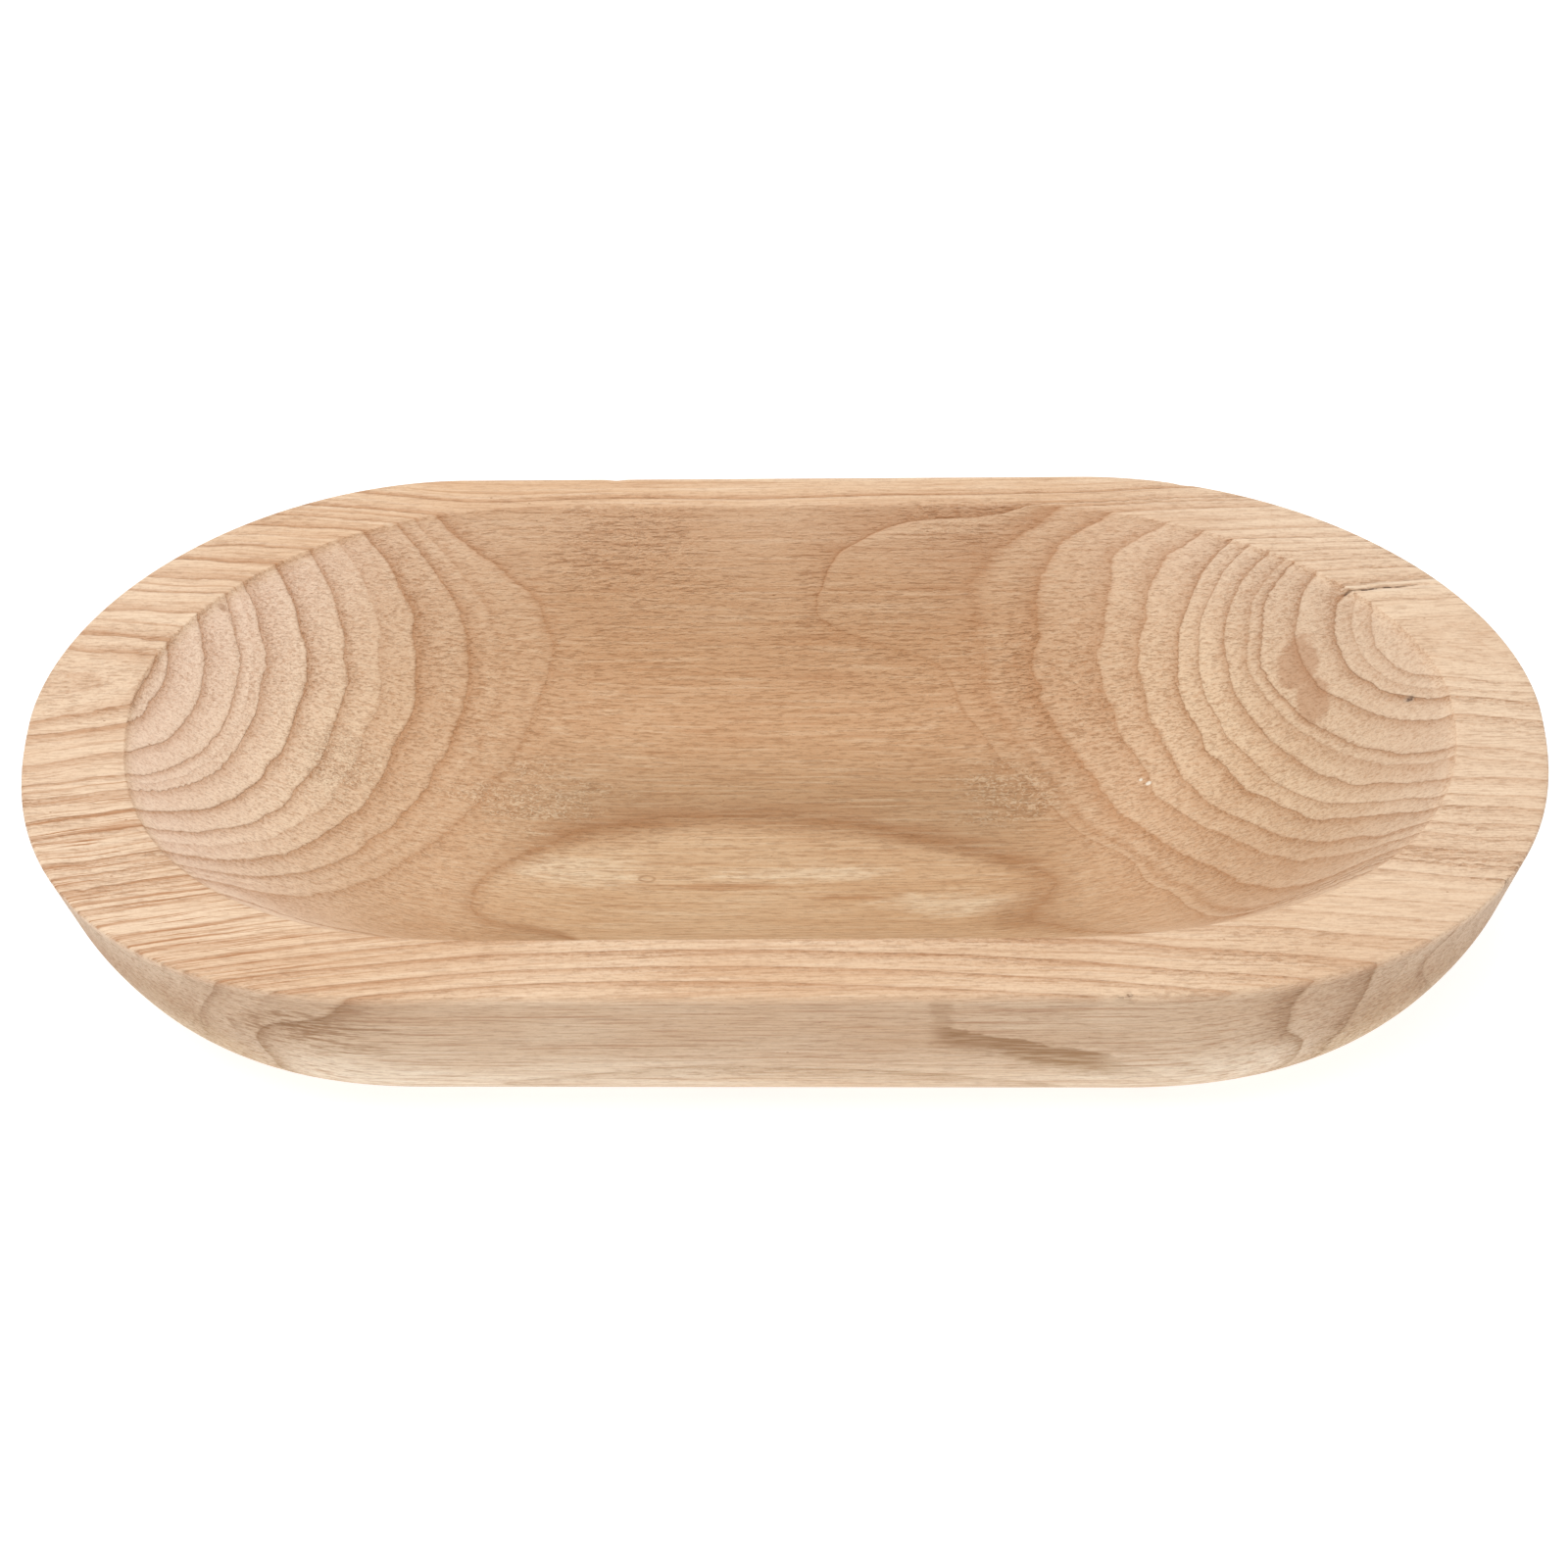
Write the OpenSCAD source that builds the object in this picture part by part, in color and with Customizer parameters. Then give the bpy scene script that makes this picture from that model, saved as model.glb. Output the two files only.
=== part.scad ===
// Long oval dough bowl, carved by hand from one block of pale wood.
// X runs along the length and Y across it, with the front at -Y. Z is up.
// The origin is the middle of the flat base.

/* [Block] */
// Length over the rim
bowl_l = 500; // [440:1:560]
// Width over the rim
bowl_w = 246; // [215:1:280]
// Height from the base to the rim
bowl_h = 75; // [62:1:95]

/* [Outline] */
// Length of the rounded left end of the rim
left_end_l = 136; // [100:1:180]
// Length of the rounded right end of the rim
right_end_l = 145; // [100:1:180]
// How full the two front corners are: two is part of an ellipse, more is squarer
front_corner_power = 2.35; // [1.7:0.05:3]
// How full the two back corners are
back_corner_power = 1.9; // [1.7:0.05:3]

/* [Rim] */
// Width of the flat rim at the left end
rim_left_w = 32; // [20:0.5:45]
// Width of the flat rim at the right end
rim_right_w = 28; // [20:0.5:45]
// Width of the flat rim along the back
rim_back_w = 15.5; // [12:0.5:30]
// Width of the flat rim along the front
rim_front_w = 24; // [12:0.5:30]
// Width of the small bevel that eases both edges of the rim
edge_ease = 1; // [0.5:0.1:2]

/* [Outer wall] */
// Lean of the long walls from upright, in degrees
side_lean = 12.5; // [2:0.5:20]
// Lean of the end walls from upright, in degrees
end_lean = 13.5; // [2:0.5:20]
// Radius of the rounded lower edge along the long walls
side_foot_r = 32; // [20:1:45]
// Radius of the rounded lower edge at the ends
end_foot_r = 60; // [20:1:60]

/* [Hollow] */
// Thickness of the wood under the floor of the hollow
base_t = 14; // [9:0.5:22]
// Length of the rounded left end of the hollow at the rim
hollow_left_end_l = 125; // [90:1:170]
// Length of the rounded right end of the hollow at the rim
hollow_right_end_l = 146; // [90:1:170]
// Length of the flat floor of the hollow
floor_l = 150; // [145:1:220]
// Width of the flat floor of the hollow
floor_w = 34; // [20:1:90]
// Length of each rounded end of the flat floor
floor_end_l = 70; // [10:1:70]
// How far the floor lies from the middle of the bowl, towards the right end
floor_x = 14; // [-30:1:30]
// How far the floor lies from the middle of the bowl, towards the back
floor_y = 11.5; // [-20:0.5:20]
// How fast the slope at the left end steepens: one is straight, two a parabola
left_slope_power = 2.2; // [1.2:0.1:3]
// How fast the slope at the right end steepens
right_slope_power = 1.5; // [1.2:0.1:3]
// How fast the front and back slopes steepen
side_slope_power = 2.3; // [1.2:0.1:4]

/* [Hidden] */

// How far the rough block stands proud of the base and the rim before both are planed flat
planing = 3;

// Facets round a quarter turn of an end, along each straight, up the foot and down the hollow
quarter_facets = 20;
straight_facets = 6;
foot_facets = 12;
hollow_facets = 24;

hollow_d = bowl_h - base_t;
ease_z = bowl_h - edge_ease;

// An outline is six numbers: left end, right end, length of the rounded left end,
// length of the rounded right end, front and back.
rim_outer = [-bowl_l / 2, bowl_l / 2, left_end_l, right_end_l, -bowl_w / 2, bowl_w / 2];
rim_inner = [-bowl_l / 2 + rim_left_w, bowl_l / 2 - rim_right_w,
             hollow_left_end_l, hollow_right_end_l,
             -bowl_w / 2 + rim_front_w, bowl_w / 2 - rim_back_w];
floor_edge = [floor_x - floor_l / 2, floor_x + floor_l / 2, floor_end_l, floor_end_l,
              floor_y - floor_w / 2, floor_y + floor_w / 2];

// An outline drawn in by one inset at the ends and another at the sides
function drawn_in(o, end_in, side_in) =
    o + end_in * [1, -1, -1, -1, 0, 0] + side_in * [0, 0, 0, 0, 1, -1];

// Height at which a foot of radius r runs into a wall that leans in by an angle
function foot_top(lean, r) = r * (1 - sin(lean));

// Inset at height z of a wall that leans in from the eased edge, then turns under with radius r
function wall_inset(z, lean, r) =
    z >= foot_top(lean, r) ? (ease_z - z) * tan(lean)
    : (ease_z - foot_top(lean, r)) * tan(lean) + r * (cos(lean) - cos(asin(1 - z / r)));

// Outline of the outer wall at height z
function wall_outline(z) =
    drawn_in(rim_outer, wall_inset(z, end_lean, end_foot_r), wall_inset(z, side_lean, side_foot_r));

// Share of the way from the rim to the floor, on a slope of the given power, at a share of the depth
function way_share(depth_share, power) = 1 - pow(1 - depth_share, 1 / power);

// Outline of the hollow at a share of its depth: 0 at the rim, 1 at the floor
function hollow_outline(depth_share) =
    let (left_share = way_share(depth_share, left_slope_power),
         right_share = way_share(depth_share, right_slope_power),
         side_share = way_share(depth_share, side_slope_power),
         way_shares = [left_share, right_share, left_share, right_share, side_share, side_share])
    [for (k = [0 : 5]) rim_inner[k] + (floor_edge[k] - rim_inner[k]) * way_shares[k]];

// A vector scaled by its own factor along each axis
function scaled(v, factors) = [for (k = [0 : 2]) v[k] * factors[k]];

// Where facet i of a full turn lies on a rounded end one unit long and one wide,
// whose back and front corners have their own powers
function on_end(i) =
    let (a = 90 * i / quarter_facets,
         power = i <= 2 * quarter_facets ? back_corner_power : front_corner_power)
    [sign(cos(a)) * pow(abs(cos(a)), 2 / power), sign(sin(a)) * pow(abs(sin(a)), 2 / power), 0];

// The points of one outline at height z, from the right tip round by the back:
// two rounded ends joined by straights
function ring(o, z) =
    let (mid = [0, (o[4] + o[5]) / 2, z], half_w = (o[5] - o[4]) / 2,
         left = mid + [o[0] + o[2], 0, 0], right = mid + [o[1] - o[3], 0, 0],
         left_size = [o[2], half_w, 0], right_size = [o[3], half_w, 0],
         back = [0, half_w, 0], step = (right - left) / straight_facets)
    concat(
        [for (i = [0 : quarter_facets]) right + scaled(on_end(i), right_size)],
        [for (i = [1 : straight_facets - 1]) right + back - step * i],
        [for (i = [quarter_facets : 3 * quarter_facets]) left + scaled(on_end(i), left_size)],
        [for (i = [1 : straight_facets - 1]) left - back + step * i],
        [for (i = [3 * quarter_facets : 4 * quarter_facets - 1])
            right + scaled(on_end(i), right_size)]);

// A closed solid skinned over a stack of rings, from the lowest ring up
module skin(rings) {
    n = len(rings[0]);
    last = len(rings) - 1;
    sides = [for (k = [0 : last - 1], i = [0 : n - 1])
        [k * n + i, (k + 1) * n + i, (k + 1) * n + (i + 1) % n, k * n + (i + 1) % n]];
    bottom = [for (i = [0 : n - 1]) i];
    top = [for (i = [n - 1 : -1 : 0]) last * n + i];
    polyhedron([for (r = rings) each r], concat(sides, [bottom, top]));
}

// The shaped block, a little too tall at both ends: rounded foot, leaning wall, eased edge
module block() {
    foot_h = max(foot_top(end_lean, end_foot_r), foot_top(side_lean, side_foot_r));
    skin(concat(
        [ring(wall_outline(0), -planing)],
        [for (i = [0 : foot_facets]) let (z = foot_h * (1 - cos(90 * i / foot_facets)))
            ring(wall_outline(z), z)],
        [for (rise = [0, edge_ease, edge_ease + planing])
            ring(drawn_in(rim_outer, rise, rise), ease_z + rise)]));
}

// The scooped room, open above the rim, with the rim's inner edge eased
module hollow() {
    edge = hollow_outline(edge_ease / hollow_d);
    skin(concat(
        [for (i = [hollow_facets : -1 : 1])
            let (depth_share = 1 - pow(1 - i / hollow_facets, side_slope_power))
            ring(hollow_outline(depth_share), bowl_h - hollow_d * depth_share)],
        [for (rise = [0, edge_ease, edge_ease + planing])
            ring(drawn_in(edge, -rise, -rise), ease_z + rise)]));
}

// Everything above the rim and below the base, which is planed away
module planed_away() {
    for (z = [-2 * planing, bowl_h])
        translate([-bowl_l, -bowl_w, z]) cube([2 * bowl_l, 2 * bowl_w, 2 * planing]);
}

module bowl() {
    color("burlywood") difference() {
        block();
        hollow();
        planed_away();
    }
}

bowl();
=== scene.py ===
# %% [markdown]
# # A dough bowl carved from one block
#
# The real bowl is hewn from half a log of pale, light, ring-porous wood. It has no joins, so it is
# one piece here too. What makes it look real is its shape, which no lathe made, and its figure:
# the growth rings of the log, cut through by the rim, the scoop and the walls. The rings are
# worked out once, in space, and then drive both the relief that sanding left and the colour.

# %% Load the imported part
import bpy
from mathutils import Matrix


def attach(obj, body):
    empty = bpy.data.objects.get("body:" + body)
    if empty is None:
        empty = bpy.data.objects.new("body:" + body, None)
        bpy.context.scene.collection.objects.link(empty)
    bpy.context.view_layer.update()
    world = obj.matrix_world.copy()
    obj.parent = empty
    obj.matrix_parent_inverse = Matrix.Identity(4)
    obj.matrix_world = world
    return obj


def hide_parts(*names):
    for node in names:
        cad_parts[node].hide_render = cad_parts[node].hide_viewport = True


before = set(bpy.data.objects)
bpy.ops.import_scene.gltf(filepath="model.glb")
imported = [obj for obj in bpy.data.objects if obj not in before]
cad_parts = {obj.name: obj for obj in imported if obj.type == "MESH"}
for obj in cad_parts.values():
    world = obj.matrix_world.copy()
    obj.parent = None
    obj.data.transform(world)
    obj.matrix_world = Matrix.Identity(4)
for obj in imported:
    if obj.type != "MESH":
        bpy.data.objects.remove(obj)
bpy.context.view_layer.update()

# %% [markdown]
# ## Tools and units
#
# Carvers measure in millimetres, and so do the values below. The mesh is shaped in millimetres
# and scaled to metres when it is done. The x axis runs along the bowl and along the log, y runs
# from the front to the back, and z is up from the flat base.

# %% Tools and units
import math
from collections import namedtuple

import bmesh
import bpy
import numpy as np
from mathutils import Matrix, Vector

MM = 0.001
print("One millimetre is", MM, "m")

# %% [markdown]
# ## The outlines of the block
#
# Every level of the bowl, outside and inside, has the same kind of outline: two long straights
# joined by two rounded ends. The front corners are fuller than the back ones, as the carver left
# them. An outline could be drawn as a curve object, but a small function that gives evenly
# spaced points is easier to extrude from level to level. A corner power of two is an ellipse,
# and a larger one is squarer.

# %% Outlines
Outline = namedtuple("Outline", "left right left_end right_end front back")

BOWL_L = 500
BOWL_W = 246
BOWL_H = 75
RIM_OUTER = Outline(-BOWL_L / 2, BOWL_L / 2, 136, 145, -BOWL_W / 2, BOWL_W / 2)
RIM_INNER = Outline(-218, 222, 125, 146, -99, 107.5)
FLOOR_EDGE = Outline(-61, 89, 70, 70, -5.5, 28.5)
FRONT_CORNER_POWER = 2.35
BACK_CORNER_POWER = 1.9
POINTS_ROUND = 600
POINTS_PER_END = 200


def blend_outline(a, b, share):
    """An outline part of the way from a to b."""
    return Outline(*[p + (q - p) * share for p, q in zip(a, b)])


def drawn_in(o, ends, sides):
    """An outline made smaller by one inset at the ends and another at the sides."""
    return Outline(
        o.left + ends, o.right - ends, o.left_end - ends, o.right_end - ends,
        o.front + sides, o.back - sides)


def half_outline(o, power, side):
    """Dense points from the right tip to the left tip, by the back (side 1) or the front (-1)."""
    turn = np.linspace(0, math.pi / 2, POINTS_PER_END)
    along = np.cos(turn) ** (2 / power)
    across = np.sin(turn) ** (2 / power)
    right = o.right - o.right_end + o.right_end * along
    left = o.left + o.left_end - o.left_end * along[::-1]
    x = np.concatenate([right, left])
    middle = (o.front + o.back) / 2
    half_w = (o.back - o.front) / 2
    y = middle + side * half_w * np.concatenate([across, across[::-1]])
    return x, y


def outline_points(o, z):
    """Evenly spaced points of an outline at height z, from the right tip round by the back."""
    halves = []
    for power, side in ((BACK_CORNER_POWER, 1), (FRONT_CORNER_POWER, -1)):
        x, y = half_outline(o, power, side)
        walked = np.concatenate([[0], np.cumsum(np.hypot(np.diff(x), np.diff(y)))])
        stops = np.linspace(0, walked[-1], POINTS_ROUND // 2 + 1)
        halves.append((np.interp(stops, walked, x), np.interp(stops, walked, y)))
    (back_x, back_y), (front_x, front_y) = halves
    x = np.concatenate([back_x[:-1], front_x[:0:-1]])
    y = np.concatenate([back_y[:-1], front_y[:0:-1]])
    return np.column_stack([x, y, np.full(len(x), float(z))])


print("Rim outline of", len(outline_points(RIM_OUTER, BOWL_H)), "points")

# %% [markdown]
# ## From the base to the rim
#
# The wall leans out a little and turns under in a round foot, because a carved block bowl has its
# lower edge rounded off for the hands. Each level is the rim outline drawn in by an amount that
# depends on the height. The front wall is also twisted by a touch, more upright at the right end.
# The flat base starts as a slit, which closes when doubles are merged.

# %% Levels of the outside
EASE = 1.0
EASE_Z = BOWL_H - EASE
SIDE_LEAN = math.radians(12.5)
END_LEAN = math.radians(13.5)
SIDE_FOOT_R = 32
END_FOOT_R = 60
WALL_TWIST = 1.8
TWIST_REACH = 200
FRONT_FADE = 40
SLIT_SHORTENING = 0.7
BASE_RINGS = 7
WALL_RINGS = 30
EVEN_SHARE = 0.35


def wall_inset(z, lean, foot_r):
    """How far the wall at height z stands in from the eased edge of the rim."""
    foot_top = foot_r * (1 - math.sin(lean))
    if z >= foot_top:
        return (EASE_Z - z) * math.tan(lean)
    under = foot_r * (math.cos(lean) - math.cos(math.asin(1 - z / foot_r)))
    return (EASE_Z - foot_top) * math.tan(lean) + under


def wall_outline(z):
    """The outline of the wall at height z."""
    return drawn_in(
        RIM_OUTER, wall_inset(z, END_LEAN, END_FOOT_R), wall_inset(z, SIDE_LEAN, SIDE_FOOT_R))


def twisted(points):
    """The front wall stands a touch more upright towards the right end, as the carver left it."""
    front_share = np.clip(-points[:, 1] / FRONT_FADE, 0, 1)
    depth_share = (EASE_Z - points[:, 2]) / EASE_Z
    points[:, 1] -= WALL_TWIST * (points[:, 0] / TWIST_REACH) * depth_share * front_share
    return points


def slit(o):
    """The line in the middle of an outline, as an outline with no width."""
    middle = (o.front + o.back) / 2
    half_w = (o.back - o.front) / 2
    shorter = half_w * SLIT_SHORTENING
    return Outline(
        o.left + half_w, o.right - half_w, o.left_end - shorter, o.right_end - shorter,
        middle, middle)


base_edge = wall_outline(0)
rings = []
for i in range(BASE_RINGS):
    level = blend_outline(slit(base_edge), base_edge, i / BASE_RINGS)
    rings.append(twisted(outline_points(level, 0)))
for i in range(WALL_RINGS + 1):
    climb = EVEN_SHARE * i / WALL_RINGS + (1 - EVEN_SHARE) * (i / WALL_RINGS) ** 2
    z = EASE_Z * climb
    rings.append(twisted(outline_points(wall_outline(z), z)))
print("Outside:", len(rings), "levels up to", EASE_Z, "mm")

# %% [markdown]
# ## The rim and the hollow
#
# The rim is planed flat, with both edges eased by a touch of sandpaper. The hollow is scooped:
# its slopes steepen towards the rim, most along the straight sides and least at the right end.
# One share runs from 0 at the rim to 1 at the floor, and each side follows it at its own pace.

# %% Levels of the rim and the hollow
FLOOR_Z = 14
HOLLOW_D = BOWL_H - FLOOR_Z
LEFT_SLOPE_POWER = 2.2
RIGHT_SLOPE_POWER = 1.5
SIDE_SLOPE_POWER = 2.3
EASE_STEPS = 3
RIM_RINGS = 9
HOLLOW_RINGS = 92
FLOOR_RINGS = 8


def eased_up(o):
    """Levels over the rounded outer edge of the rim, from the wall to the top."""
    turns = [math.pi / 2 * i / EASE_STEPS for i in range(1, EASE_STEPS + 1)]
    insets = [EASE * (1 - math.cos(turn)) for turn in turns]
    return [
        outline_points(drawn_in(o, inset, inset), EASE_Z + EASE * math.sin(turn))
        for inset, turn in zip(insets, turns)]


def eased_down(o):
    """Levels over the softened inner edge, from the top into the slope of the hollow."""
    shares = [i / EASE_STEPS for i in range(1, EASE_STEPS + 1)]
    insets = [EASE * (share - 1) for share in shares]
    return [
        outline_points(drawn_in(o, inset, inset), BOWL_H - EASE * share ** 2)
        for inset, share in zip(insets, shares)]


def hollow_outline(depth_share):
    """The outline of the hollow at a share of its depth."""
    left = 1 - (1 - depth_share) ** (1 / LEFT_SLOPE_POWER)
    right = 1 - (1 - depth_share) ** (1 / RIGHT_SLOPE_POWER)
    side = 1 - (1 - depth_share) ** (1 / SIDE_SLOPE_POWER)
    ways = (left, right, left, right, side, side)
    return Outline(*[p + (q - p) * way for p, q, way in zip(RIM_INNER, FLOOR_EDGE, ways)])


rings += eased_up(RIM_OUTER)
inner_edge = hollow_outline(EASE / HOLLOW_D)
rim_start = rings[-1]
rim_end = outline_points(drawn_in(inner_edge, -EASE, -EASE), BOWL_H)
for i in range(1, RIM_RINGS):
    rings.append(rim_start + (rim_end - rim_start) * i / RIM_RINGS)
rings.append(rim_end)
rings += eased_down(inner_edge)
first_hollow_ring = len(rings)
first_way = 1 - (1 - EASE / HOLLOW_D) ** (1 / SIDE_SLOPE_POWER)
for i in range(1, HOLLOW_RINGS + 1):
    way = first_way + (1 - first_way) * i / HOLLOW_RINGS
    depth_share = 1 - (1 - way) ** SIDE_SLOPE_POWER
    rings.append(outline_points(hollow_outline(depth_share), BOWL_H - HOLLOW_D * depth_share))
for i in range(1, FLOOR_RINGS + 1):
    level = blend_outline(FLOOR_EDGE, slit(FLOOR_EDGE), i / FLOOR_RINGS)
    rings.append(outline_points(level, FLOOR_Z))
print("All levels:", len(rings))

# %% [markdown]
# ## Extruding the block
#
# A circle is bent to the first level, and its edge loop is extruded once for each level after
# it: out over the base, up the wall, across the rim and down into the scoop. The first and the
# last level are slits, so the skin needs no cap and has no pole.

# %% Extrude the levels
def next_ring(bm, ring, points):
    """Extrudes a closed ring of vertices and lays the new ring on the given points."""
    edges = [bm.edges.get((a, b)) for a, b in zip(ring, ring[1:] + ring[:1])]
    grown = bmesh.ops.extrude_edge_only(bm, edges=edges)["geom"]
    new = {v for v in grown if isinstance(v, bmesh.types.BMVert)}
    raised = []
    for v, point in zip(ring, points):
        top = next(e.other_vert(v) for e in v.link_edges if e.other_vert(v) in new)
        top.co = point
        raised.append(top)
    return raised


bm = bmesh.new()
ring = bmesh.ops.create_circle(bm, segments=POINTS_ROUND, radius=1)["verts"]
for v, point in zip(ring, rings[0]):
    v.co = point
hollow_verts = []
for level, points in enumerate(rings[1:], start=1):
    ring = next_ring(bm, ring, points)
    if level > first_hollow_ring:
        hollow_verts += ring
print("Skin of", len(bm.verts), "vertices and", len(bm.faces), "faces")

# %% [markdown]
# ## Smoothing the scoop
#
# The doubles of the two slits are merged first, so that nothing can pull them open. A gouge and
# a sanding disc leave no line where the rounded ends meet the straights, so the scoop is then
# smoothed as a sanding disc would.

# %% Close the skin and smooth the scoop
SANDING_PASSES = 30
SLIT_GAP = 0.02
bmesh.ops.remove_doubles(bm, verts=bm.verts, dist=SLIT_GAP)
hollow_verts = [v for v in hollow_verts if v.is_valid]
for _ in range(SANDING_PASSES):
    bmesh.ops.smooth_vert(
        bm, verts=hollow_verts, factor=0.5, use_axis_x=True, use_axis_y=True, use_axis_z=True)
bmesh.ops.recalc_face_normals(bm, faces=bm.faces)
triangles = sum(len(face.verts) - 2 for face in bm.faces)
print("Closed skin:", len(bm.verts), "vertices,", triangles, "triangles")

# %% [markdown]
# ## Marks of drying and use
#
# Drying opened a crack along one ring across the right end of the rim, a small pit lies in the
# right slope, and knocks have chipped the outer edge of the rim. All of them are small, and about
# a millimetre deep at most, so the skin is first made finer where they lie. A grid cut leaves a
# few faces of many sides at its border, and these are split into triangles.

# %% Finer skin at the marks
def ramp(t):
    """0 below 0, 1 above 1, and a smooth rise between."""
    t = np.clip(t, 0, 1)
    return t * t * (3 - 2 * t)


def make_finer(low, high, cuts):
    """Cuts up the faces whose middle lies in a box."""
    chosen = []
    for face in bm.faces:
        middle = face.calc_center_median()
        if all(a < c < b for a, c, b in zip(low, middle, high)):
            chosen.append(face)
    edges = dict.fromkeys(edge for face in chosen for edge in face.edges)
    bmesh.ops.subdivide_edges(bm, edges=list(edges), cuts=cuts, use_grid_fill=True)


MARK_DEEP = BOWL_H - 3
ABOVE_RIM = BOWL_H + 1
CHIPS = [
    # middle of the chip on the rim's outer edge, its reach along the edge, its depth
    (101, -122.6, 3.2, 0.5),
    (107, -122.6, 2.2, 0.8),
    (117, -122.4, 1.6, 0.3),
    (126, -121.9, 3.6, 0.6),
    (150, -118.9, 2.5, 0.4),
    (228.5, -75, 1.8, 0.9),
    (-226, -80, 2.2, 0.4),
    (-60, 123, 2.6, 0.4),
    (141, 120, 3, 0.5),
]
make_finer((185, 55, MARK_DEEP), (234, 70, ABOVE_RIM), 4)
make_finer((205, 12, 60), (213, 20, MARK_DEEP), 4)
for along, across, reach, _ in CHIPS:
    low = (along - 2 * reach, across - 2 * reach, MARK_DEEP)
    high = (along + 2 * reach, across + 2 * reach, ABOVE_RIM)
    make_finer(low, high, 2)
many_sided = [face for face in bm.faces if len(face.verts) > 4]
bmesh.ops.triangulate(bm, faces=many_sided)
bm.normal_update()
bowl_mesh = bpy.data.meshes.new("dough_bowl")
bm.to_mesh(bowl_mesh)
bm.free()
print("Finer skin:", len(bowl_mesh.vertices), "vertices")

# %% [markdown]
# ## Pushing the marks in
#
# Every mark is a soft dent along the normals, deepest in its middle. From here on the mesh is
# handled as arrays, because the marks, the rings and the relief are sums over all vertices at
# once. The strength of the crack and the pit is kept for the colour.

# %% Crack, pit and chipped edges
def read_mesh(attribute):
    """The coordinates or the normals of all vertices, as an array."""
    values = np.empty(len(bowl_mesh.vertices) * 3)
    bowl_mesh.vertices.foreach_get(attribute, values)
    return values.reshape(-1, 3)


def off_path(p, path):
    """Distance of each point from a path of straight pieces, seen from above."""
    nearest = np.full(len(p), np.inf)
    for a, b in zip(path, path[1:]):
        a, b = np.array(a), np.array(b)
        share = np.clip(((p[:, :2] - a) @ (b - a)) / ((b - a) @ (b - a)), 0, 1)
        off = np.linalg.norm(p[:, :2] - a - share[:, None] * (b - a), axis=1)
        nearest = np.minimum(nearest, off)
    return nearest


CRACK = [(189, 60), (193, 61.6), (199, 62.0), (204, 63.1), (211, 63.4), (218, 64.6), (224, 64.8)]
CRACK_NARROWS_X = 216
CRACK_ENDS_X = 226
CRACK_DEPTH = 1.1
PIT = (209, 16, 67)
PIT_REACH = (2, 1.2, 4)
PIT_DEPTH = 0.7
points = read_mesh("co")
normals = read_mesh("normal")
high_up = ramp((points[:, 2] - BOWL_H + 4) / 3)
off_crack = off_path(points, CRACK)
crack_width = 0.3 + 0.3 * ramp((CRACK_NARROWS_X - points[:, 0]) / 10)
crack = np.exp(-(off_crack / crack_width) ** 2) * high_up * ramp((CRACK_ENDS_X - points[:, 0]) / 14)
pit_x, pit_y, pit_z = ((points - np.array(PIT)) / np.array(PIT_REACH)).T
pit = np.exp(-pit_x ** 2 - pit_y ** 2 - pit_z ** 2)
push_in = CRACK_DEPTH * crack + PIT_DEPTH * pit
for along, across, reach, depth in CHIPS:
    away = np.hypot(points[:, 0] - along, points[:, 1] - across)
    push_in = push_in + depth * np.exp(-(away / reach) ** 2) * high_up
points = points - normals * push_in[:, None]
bowl_mesh.vertices.foreach_set("co", points.ravel())
bowl_mesh.update()
print("Marks cut into", int((push_in > 0.1).sum()), "vertices")

# %% [markdown]
# ## The growth rings of the log
#
# The heart of the log, its pith, ran along the bowl a little above the rim, so the rings are
# nearly round about that line, and the scoop cuts them into the nested curves that the bowl is
# known for. Each ring is a number, its age, counted outwards. The first list gives the radius of
# each ring at the left and the right end, and how dark it is there. A tree never grows quite
# round, so the second and the third list have bends that push the rings outwards in places, or
# inwards where the push is negative, below the rim, on it and on the front wall.

# %% Rings and bends of this log
RINGS = [
    # radius at the left and right end, darkness there, darkness on the outer wall there
    (17, 16, 0.3, 0.3, 0.2, 0.2),
    (25, 23, 0.6, 0.6, 0.2, 0.2),
    (29.5, 27, 0.9, 0.3, 0.2, 0.2),
    (32.5, 30.5, 0.9, 1.0, 0.3, 0.3),
    (40.5, 38, 0.8, 0.8, 0.3, 0.3),
    (47.5, 46, 0.8, 0.9, 0.4, 0.4),
    (50, 48.5, 0.1, 0.5, 0.1, 0.2),
    (52, 54, 0.8, 0.8, 0.2, 0.3),
    (59.5, 60, 1.0, 0.6, 0.3, 0.3),
    (66, 64, 0.8, 0.9, 0.3, 0.3),
    (71, 70.5, 0.3, 0.8, 0.2, 0.3),
    (75.5, 75.5, 0.9, 0.6, 0.3, 0.3),
    (81, 82.5, 0.8, 0.8, 0.2, 0.3),
    (83.5, 86.7, 0.3, 0.9, 0.1, 0.1),
    (85.5, 87.5, 0.9, 1.0, 0.2, 0.3),
    (93.5, 93.5, 0.9, 0.9, 0.2, 0.2),
    (98, 99, 0.1, 0.1, 0.2, 0.3),
    (104, 105, 0.3, 0.3, 0.1, 0.2),
    (111, 112, 0.5, 0.5, 0.1, 0.8),
    (117, 120, 0.6, 0.6, 0.1, 0.1),
    (121, 131, 0.6, 0.9, 0.1, 1.0),
    (126.5, 141, 0.9, 0.8, 0.7, 0.9),
    (133, 147.5, 0.8, 0.6, 0.1, 0.1),
    (138, 153, 1.0, 0.5, 1.0, 0.1),
    (143, 156, 0.4, 1.0, 0.0, 0.2),
    (152, 161, 0.7, 0.7, 0.4, 0.4),
    (160, 170, 0.5, 0.5, 0.3, 0.3),
    (171, 181, 0.6, 0.6, 0.5, 0.5),
]
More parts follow.
